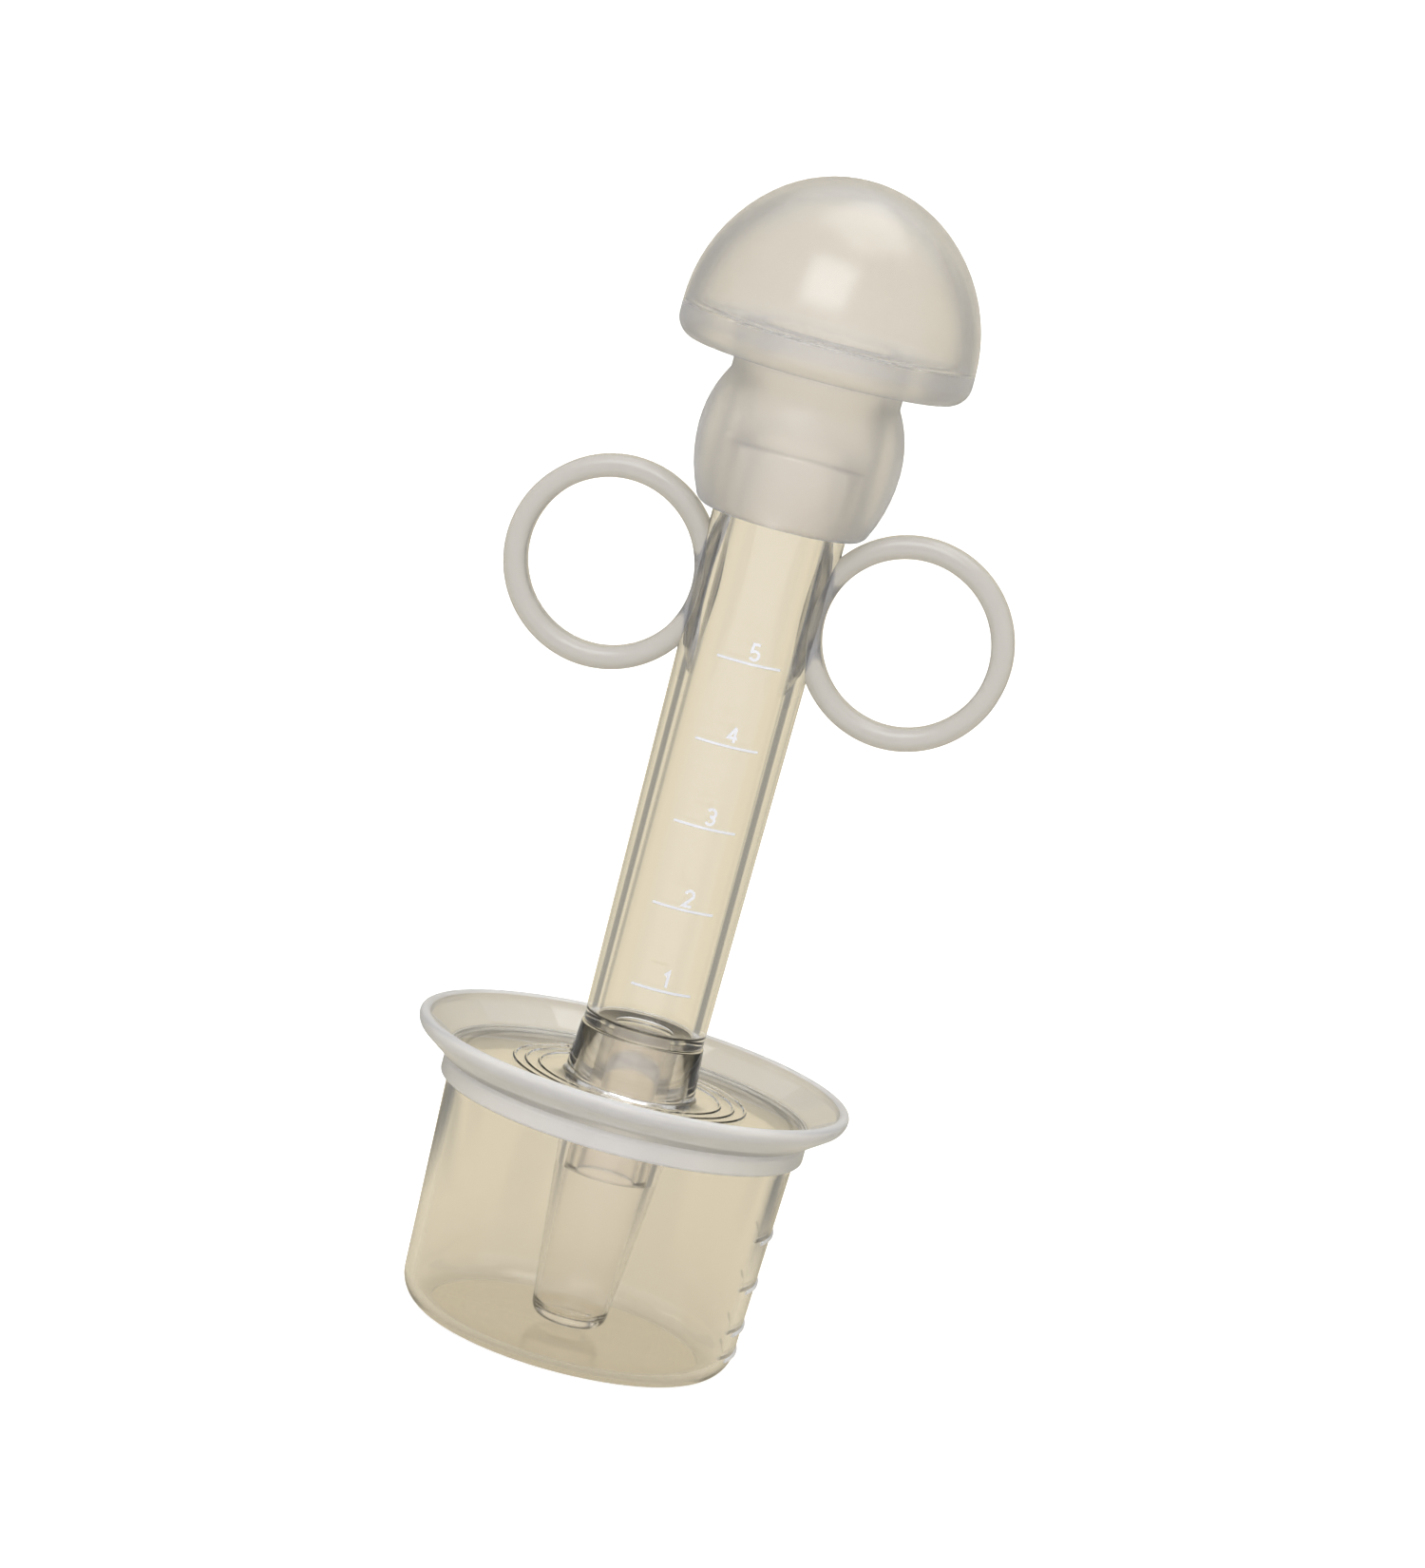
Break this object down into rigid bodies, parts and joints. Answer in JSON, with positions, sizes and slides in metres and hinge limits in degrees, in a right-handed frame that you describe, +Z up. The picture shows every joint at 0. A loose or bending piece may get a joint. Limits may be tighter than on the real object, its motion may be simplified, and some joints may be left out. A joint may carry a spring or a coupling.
{
  "type": "medicine dropper",
  "caption": "Medicine dropper with a mushroom squeeze bulb, graduated clear barrel and finger rings, standing in a dished lid on its measuring cup.",
  "frame": {"origin": "centre of the measuring cup's base, on the surface it stands on", "axes": "+Z up along the barrel's axis; the finger rings lie along X; the barrel's dose scale faces -Y"},
  "size_m": [0.0598, 0.0514, 0.1389],
  "materials": {
    "clear_cup": "clear, faintly warm moulded plastic, polished inside and out",
    "clear_lid": "translucent moulded plastic, satin outside",
    "clear_barrel": "clear, faintly warm moulded plastic, polished",
    "milky_ring": "translucent milky plastic, satin",
    "scale_relief": "fine frosted relief",
    "clear_nozzle": "clear outside, frosted inside",
    "silicone": "frosted translucent silicone, soft sheen"
  },
  "bodies": {
    "cup": {"measuring_cup": "clear_cup", "cup_scale": "scale_relief"},
    "lid": {"lid_dish": "clear_lid", "lid_skirt": "clear_lid", "lid_hub": "clear_lid"},
    "dropper": {"barrel": "clear_barrel", "barrel_scale": "scale_relief", "finger_ring_left": "milky_ring", "finger_ring_right": "milky_ring", "nozzle_tip": "clear_nozzle"},
    "bulb": {"bulb_collar": "silicone", "bulb_plate": "silicone", "bulb_wall": "silicone"},
    "crown": {"bulb_crown": "silicone"}
  },
  "joints": [
    {"name": "lid_lift", "type": "slide", "parent": "cup", "child": "lid", "axis": [0, 0, 1], "range_m": [0, 0.015]},
    {"name": "dropper_lift", "type": "slide", "parent": "lid", "child": "dropper", "axis": [0, 0, 1], "range_m": [0, 0.045]},
    {"name": "bulb_pull", "type": "slide", "parent": "dropper", "child": "bulb", "axis": [0, 0, 1], "range_m": [0, 0.014]},
    {"name": "bulb_press", "type": "slide", "parent": "bulb", "child": "crown", "axis": [0, 0, -1], "range_m": [0, 0.008], "stiffness_N_per_m": 900, "deforming": ["bulb_wall"]}
  ]
}
